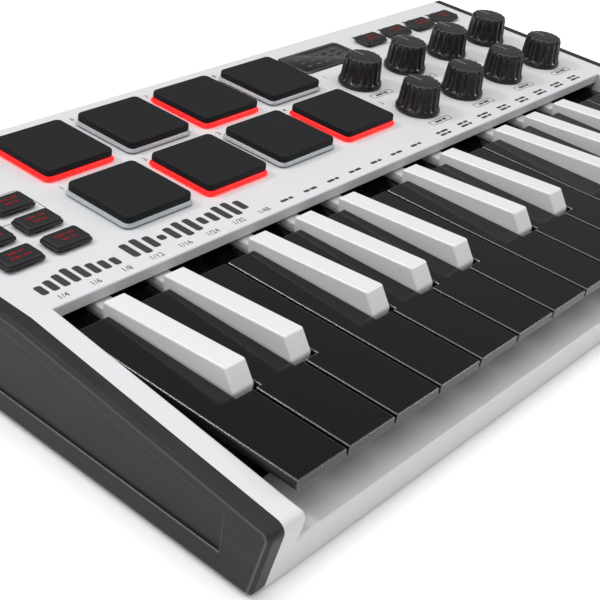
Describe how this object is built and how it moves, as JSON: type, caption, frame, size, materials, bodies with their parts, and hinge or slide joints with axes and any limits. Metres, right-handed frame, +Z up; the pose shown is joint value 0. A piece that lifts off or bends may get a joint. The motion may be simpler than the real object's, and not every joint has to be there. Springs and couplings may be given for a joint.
{
  "type": "midi keyboard controller",
  "caption": "Compact keyboard controller with mini keys, drum pads, endless knobs, push buttons and a thumb joystick in a low white case.",
  "frame": {"origin": "under the middle of the unit, on the surface that it stands on", "axes": "+X to the player's right along the keys, +Y from the player to the rear wall, +Z up out of the panel"},
  "size_m": [0.318, 0.1805, 0.0445],
  "materials": {
    "white_case_plastic": "satin white moulded plastic",
    "grey_base_plastic": "textured dark moulded plastic",
    "charcoal_plastic": "matte charcoal with a fine brushed grain",
    "foot_rubber": "dark rubber",
    "bed_plastic": "black moulded plastic",
    "circuit_board": "green solder mask",
    "socket_metal": "plated steel",
    "black_key_plastic": "gloss black",
    "white_key_plastic": "satin white",
    "pad_rubber": "matte silicone",
    "button_rubber": "matte silicone",
    "knob_plastic": "gloss black fluted",
    "stick_plastic": "satin black"
  },
  "bodies": {
    "case": {"top_case": "white_case_plastic", "bottom_case": "grey_base_plastic", "end_cheeks": "charcoal_plastic", "rubber_feet": "foot_rubber", "key_bed": "bed_plastic", "circuit_boards": "circuit_board", "rear_sockets": "socket_metal"},
    "natural_key_01": {"natural_key_01": "black_key_plastic"},
    "natural_key_02": {"natural_key_02": "black_key_plastic"},
    "natural_key_03": {"natural_key_03": "black_key_plastic"},
    "natural_key_04": {"natural_key_04": "black_key_plastic"},
    "natural_key_05": {"natural_key_05": "black_key_plastic"},
    "natural_key_06": {"natural_key_06": "black_key_plastic"},
    "natural_key_07": {"natural_key_07": "black_key_plastic"},
    "natural_key_08": {"natural_key_08": "black_key_plastic"},
    "natural_key_09": {"natural_key_09": "black_key_plastic"},
    "natural_key_10": {"natural_key_10": "black_key_plastic"},
    "natural_key_11": {"natural_key_11": "black_key_plastic"},
    "natural_key_12": {"natural_key_12": "black_key_plastic"},
    "natural_key_13": {"natural_key_13": "black_key_plastic"},
    "natural_key_14": {"natural_key_14": "black_key_plastic"},
    "natural_key_15": {"natural_key_15": "black_key_plastic"},
    "sharp_key_01": {"sharp_key_01": "white_key_plastic"},
    "sharp_key_02": {"sharp_key_02": "white_key_plastic"},
    "sharp_key_03": {"sharp_key_03": "white_key_plastic"},
    "sharp_key_04": {"sharp_key_04": "white_key_plastic"},
    "sharp_key_05": {"sharp_key_05": "white_key_plastic"},
    "sharp_key_06": {"sharp_key_06": "white_key_plastic"},
    "sharp_key_07": {"sharp_key_07": "white_key_plastic"},
    "sharp_key_08": {"sharp_key_08": "white_key_plastic"},
    "sharp_key_09": {"sharp_key_09": "white_key_plastic"},
    "sharp_key_10": {"sharp_key_10": "white_key_plastic"},
    "pad_1": {"pad_1": "pad_rubber"},
    "pad_2": {"pad_2": "pad_rubber"},
    "pad_3": {"pad_3": "pad_rubber"},
    "pad_4": {"pad_4": "pad_rubber"},
    "pad_5": {"pad_5": "pad_rubber"},
    "pad_6": {"pad_6": "pad_rubber"},
    "pad_7": {"pad_7": "pad_rubber"},
    "pad_8": {"pad_8": "pad_rubber"},
    "left_button_1": {"left_button_1": "button_rubber"},
    "left_button_2": {"left_button_2": "button_rubber"},
    "left_button_3": {"left_button_3": "button_rubber"},
    "left_button_4": {"left_button_4": "button_rubber"},
    "left_button_5": {"left_button_5": "button_rubber"},
    "left_button_6": {"left_button_6": "button_rubber"},
    "right_button_1": {"right_button_1": "button_rubber"},
    "right_button_2": {"right_button_2": "button_rubber"},
    "right_button_3": {"right_button_3": "button_rubber"},
    "right_button_4": {"right_button_4": "button_rubber"},
    "knob_1": {"knob_1": "knob_plastic"},
    "knob_2": {"knob_2": "knob_plastic"},
    "knob_3": {"knob_3": "knob_plastic"},
    "knob_4": {"knob_4": "knob_plastic"},
    "knob_5": {"knob_5": "knob_plastic"},
    "knob_6": {"knob_6": "knob_plastic"},
    "knob_7": {"knob_7": "knob_plastic"},
    "knob_8": {"knob_8": "knob_plastic"},
    "joystick_ring": {"joystick_ring": "bed_plastic"},
    "joystick_stick": {"joystick_stick": "stick_plastic"}
  },
  "joints": [
    {"name": "joystick_up_down", "type": "hinge", "parent": "case", "child": "joystick_ring", "pos_m": [-0.13, 0.07, 0.0232], "axis": [1, 0, 0], "range_deg": [-16, 16], "stiffness_Nm_per_rad": 0.02},
    {"name": "joystick_left_right", "type": "hinge", "parent": "joystick_ring", "child": "joystick_stick", "pos_m": [-0.13, 0.07, 0.0232], "axis": [0, 1, 0], "range_deg": [-16, 16], "stiffness_Nm_per_rad": 0.02},
    {"name": "knob_1_turn", "type": "hinge", "parent": "case", "child": "knob_1", "pos_m": [0.0456, 0.0203, 0.034], "axis": [0, 0, 1], "continuous": true},
    {"name": "knob_8_turn", "type": "hinge", "parent": "case", "child": "knob_8", "pos_m": [0.13305, 0.0479, 0.034], "axis": [0, 0, 1], "continuous": true},
    {"name": "left_button_1_press", "type": "slide", "parent": "case", "child": "left_button_1", "axis": [0, 0, -1], "range_m": [0, 0.0006], "stiffness_N_per_m": 20, "springref_m": -0.01},
    {"name": "left_button_6_press", "type": "slide", "parent": "case", "child": "left_button_6", "axis": [0, 0, -1], "range_m": [0, 0.0006], "stiffness_N_per_m": 20, "springref_m": -0.01},
    {"name": "right_button_1_press", "type": "slide", "parent": "case", "child": "right_button_1", "axis": [0, 0, -1], "range_m": [0, 0.0006], "stiffness_N_per_m": 20, "springref_m": -0.01},
    {"name": "right_button_4_press", "type": "slide", "parent": "case", "child": "right_button_4", "axis": [0, 0, -1], "range_m": [0, 0.0006], "stiffness_N_per_m": 20, "springref_m": -0.01},
    {"name": "pad_1_press", "type": "slide", "parent": "case", "child": "pad_1", "axis": [0, 0, -1], "range_m": [0, 0.0004], "stiffness_N_per_m": 200, "springref_m": -0.005},
    {"name": "pad_8_press", "type": "slide", "parent": "case", "child": "pad_8", "axis": [0, 0, -1], "range_m": [0, 0.0004], "stiffness_N_per_m": 200, "springref_m": -0.005},
    {"name": "natural_key_01_press", "type": "hinge", "parent": "case", "child": "natural_key_01", "pos_m": [0, 0.005, 0.0225], "axis": [1, 0, 0], "range_deg": [0, 3], "stiffness_Nm_per_rad": 0.3, "springref_deg": -6.88},
    {"name": "natural_key_08_press", "type": "hinge", "parent": "case", "child": "natural_key_08", "pos_m": [0, 0.005, 0.0225], "axis": [1, 0, 0], "range_deg": [0, 3], "stiffness_Nm_per_rad": 0.3, "springref_deg": -6.88},
    {"name": "natural_key_15_press", "type": "hinge", "parent": "case", "child": "natural_key_15", "pos_m": [0, 0.005, 0.0225], "axis": [1, 0, 0], "range_deg": [0, 3], "stiffness_Nm_per_rad": 0.3, "springref_deg": -6.88},
    {"name": "sharp_key_01_press", "type": "hinge", "parent": "case", "child": "sharp_key_01", "pos_m": [0, 0.005, 0.0225], "axis": [1, 0, 0], "range_deg": [0, 3], "stiffness_Nm_per_rad": 0.3, "springref_deg": -6.88},
    {"name": "sharp_key_05_press", "type": "hinge", "parent": "case", "child": "sharp_key_05", "pos_m": [0, 0.005, 0.0225], "axis": [1, 0, 0], "range_deg": [0, 3], "stiffness_Nm_per_rad": 0.3, "springref_deg": -6.88},
    {"name": "sharp_key_10_press", "type": "hinge", "parent": "case", "child": "sharp_key_10", "pos_m": [0, 0.005, 0.0225], "axis": [1, 0, 0], "range_deg": [0, 3], "stiffness_Nm_per_rad": 0.3, "springref_deg": -6.88},
    {"name": "natural_key_02_press", "type": "hinge", "parent": "case", "child": "natural_key_02", "pos_m": [0, 0.005, 0.0225], "axis": [1, 0, 0], "range_deg": [0, 3], "stiffness_Nm_per_rad": 0.3, "springref_deg": -6.88},
    {"name": "natural_key_03_press", "type": "hinge", "parent": "case", "child": "natural_key_03", "pos_m": [0, 0.005, 0.0225], "axis": [1, 0, 0], "range_deg": [0, 3], "stiffness_Nm_per_rad": 0.3, "springref_deg": -6.88},
    {"name": "natural_key_04_press", "type": "hinge", "parent": "case", "child": "natural_key_04", "pos_m": [0, 0.005, 0.0225], "axis": [1, 0, 0], "range_deg": [0, 3], "stiffness_Nm_per_rad": 0.3, "springref_deg": -6.88},
    {"name": "natural_key_05_press", "type": "hinge", "parent": "case", "child": "natural_key_05", "pos_m": [0, 0.005, 0.0225], "axis": [1, 0, 0], "range_deg": [0, 3], "stiffness_Nm_per_rad": 0.3, "springref_deg": -6.88},
    {"name": "natural_key_06_press", "type": "hinge", "parent": "case", "child": "natural_key_06", "pos_m": [0, 0.005, 0.0225], "axis": [1, 0, 0], "range_deg": [0, 3], "stiffness_Nm_per_rad": 0.3, "springref_deg": -6.88},
    {"name": "natural_key_07_press", "type": "hinge", "parent": "case", "child": "natural_key_07", "pos_m": [0, 0.005, 0.0225], "axis": [1, 0, 0], "range_deg": [0, 3], "stiffness_Nm_per_rad": 0.3, "springref_deg": -6.88},
    {"name": "natural_key_09_press", "type": "hinge", "parent": "case", "child": "natural_key_09", "pos_m": [0, 0.005, 0.0225], "axis": [1, 0, 0], "range_deg": [0, 3], "stiffness_Nm_per_rad": 0.3, "springref_deg": -6.88},
    {"name": "natural_key_10_press", "type": "hinge", "parent": "case", "child": "natural_key_10", "pos_m": [0, 0.005, 0.0225], "axis": [1, 0, 0], "range_deg": [0, 3], "stiffness_Nm_per_rad": 0.3, "springref_deg": -6.88},
    {"name": "natural_key_11_press", "type": "hinge", "parent": "case", "child": "natural_key_11", "pos_m": [0, 0.005, 0.0225], "axis": [1, 0, 0], "range_deg": [0, 3], "stiffness_Nm_per_rad": 0.3, "springref_deg": -6.88},
    {"name": "natural_key_12_press", "type": "hinge", "parent": "case", "child": "natural_key_12", "pos_m": [0, 0.005, 0.0225], "axis": [1, 0, 0], "range_deg": [0, 3], "stiffness_Nm_per_rad": 0.3, "springref_deg": -6.88},
    {"name": "natural_key_13_press", "type": "hinge", "parent": "case", "child": "natural_key_13", "pos_m": [0, 0.005, 0.0225], "axis": [1, 0, 0], "range_deg": [0, 3], "stiffness_Nm_per_rad": 0.3, "springref_deg": -6.88},
    {"name": "natural_key_14_press", "type": "hinge", "parent": "case", "child": "natural_key_14", "pos_m": [0, 0.005, 0.0225], "axis": [1, 0, 0], "range_deg": [0, 3], "stiffness_Nm_per_rad": 0.3, "springref_deg": -6.88},
    {"name": "sharp_key_02_press", "type": "hinge", "parent": "case", "child": "sharp_key_02", "pos_m": [0, 0.005, 0.0225], "axis": [1, 0, 0], "range_deg": [0, 3], "stiffness_Nm_per_rad": 0.3, "springref_deg": -6.88},
    {"name": "sharp_key_03_press", "type": "hinge", "parent": "case", "child": "sharp_key_03", "pos_m": [0, 0.005, 0.0225], "axis": [1, 0, 0], "range_deg": [0, 3], "stiffness_Nm_per_rad": 0.3, "springref_deg": -6.88},
    {"name": "sharp_key_04_press", "type": "hinge", "parent": "case", "child": "sharp_key_04", "pos_m": [0, 0.005, 0.0225], "axis": [1, 0, 0], "range_deg": [0, 3], "stiffness_Nm_per_rad": 0.3, "springref_deg": -6.88},
    {"name": "sharp_key_06_press", "type": "hinge", "parent": "case", "child": "sharp_key_06", "pos_m": [0, 0.005, 0.0225], "axis": [1, 0, 0], "range_deg": [0, 3], "stiffness_Nm_per_rad": 0.3, "springref_deg": -6.88},
    {"name": "sharp_key_07_press", "type": "hinge", "parent": "case", "child": "sharp_key_07", "pos_m": [0, 0.005, 0.0225], "axis": [1, 0, 0], "range_deg": [0, 3], "stiffness_Nm_per_rad": 0.3, "springref_deg": -6.88},
    {"name": "sharp_key_08_press", "type": "hinge", "parent": "case", "child": "sharp_key_08", "pos_m": [0, 0.005, 0.0225], "axis": [1, 0, 0], "range_deg": [0, 3], "stiffness_Nm_per_rad": 0.3, "springref_deg": -6.88},
    {"name": "sharp_key_09_press", "type": "hinge", "parent": "case", "child": "sharp_key_09", "pos_m": [0, 0.005, 0.0225], "axis": [1, 0, 0], "range_deg": [0, 3], "stiffness_Nm_per_rad": 0.3, "springref_deg": -6.88},
    {"name": "pad_2_press", "type": "slide", "parent": "case", "child": "pad_2", "axis": [0, 0, -1], "range_m": [0, 0.0004], "stiffness_N_per_m": 200, "springref_m": -0.005},
    {"name": "pad_3_press", "type": "slide", "parent": "case", "child": "pad_3", "axis": [0, 0, -1], "range_m": [0, 0.0004], "stiffness_N_per_m": 200, "springref_m": -0.005},
    {"name": "pad_4_press", "type": "slide", "parent": "case", "child": "pad_4", "axis": [0, 0, -1], "range_m": [0, 0.0004], "stiffness_N_per_m": 200, "springref_m": -0.005},
    {"name": "pad_5_press", "type": "slide", "parent": "case", "child": "pad_5", "axis": [0, 0, -1], "range_m": [0, 0.0004], "stiffness_N_per_m": 200, "springref_m": -0.005},
    {"name": "pad_6_press", "type": "slide", "parent": "case", "child": "pad_6", "axis": [0, 0, -1], "range_m": [0, 0.0004], "stiffness_N_per_m": 200, "springref_m": -0.005},
    {"name": "pad_7_press", "type": "slide", "parent": "case", "child": "pad_7", "axis": [0, 0, -1], "range_m": [0, 0.0004], "stiffness_N_per_m": 200, "springref_m": -0.005},
    {"name": "left_button_2_press", "type": "slide", "parent": "case", "child": "left_button_2", "axis": [0, 0, -1], "range_m": [0, 0.0006], "stiffness_N_per_m": 20, "springref_m": -0.01},
    {"name": "left_button_3_press", "type": "slide", "parent": "case", "child": "left_button_3", "axis": [0, 0, -1], "range_m": [0, 0.0006], "stiffness_N_per_m": 20, "springref_m": -0.01},
    {"name": "left_button_4_press", "type": "slide", "parent": "case", "child": "left_button_4", "axis": [0, 0, -1], "range_m": [0, 0.0006], "stiffness_N_per_m": 20, "springref_m": -0.01},
    {"name": "left_button_5_press", "type": "slide", "parent": "case", "child": "left_button_5", "axis": [0, 0, -1], "range_m": [0, 0.0006], "stiffness_N_per_m": 20, "springref_m": -0.01},
    {"name": "right_button_2_press", "type": "slide", "parent": "case", "child": "right_button_2", "axis": [0, 0, -1], "range_m": [0, 0.0006], "stiffness_N_per_m": 20, "springref_m": -0.01},
    {"name": "right_button_3_press", "type": "slide", "parent": "case", "child": "right_button_3", "axis": [0, 0, -1], "range_m": [0, 0.0006], "stiffness_N_per_m": 20, "springref_m": -0.01},
    {"name": "knob_2_turn", "type": "hinge", "parent": "case", "child": "knob_2", "pos_m": [0.07475, 0.0203, 0.034], "axis": [0, 0, 1], "continuous": true},
    {"name": "knob_3_turn", "type": "hinge", "parent": "case", "child": "knob_3", "pos_m": [0.1039, 0.0203, 0.034], "axis": [0, 0, 1], "continuous": true},
    {"name": "knob_4_turn", "type": "hinge", "parent": "case", "child": "knob_4", "pos_m": [0.13305, 0.0203, 0.034], "axis": [0, 0, 1], "continuous": true},
    {"name": "knob_5_turn", "type": "hinge", "parent": "case", "child": "knob_5", "pos_m": [0.0456, 0.0479, 0.034], "axis": [0, 0, 1], "continuous": true},
    {"name": "knob_6_turn", "type": "hinge", "parent": "case", "child": "knob_6", "pos_m": [0.07475, 0.0479, 0.034], "axis": [0, 0, 1], "continuous": true},
    {"name": "knob_7_turn", "type": "hinge", "parent": "case", "child": "knob_7", "pos_m": [0.1039, 0.0479, 0.034], "axis": [0, 0, 1], "continuous": true}
  ]
}
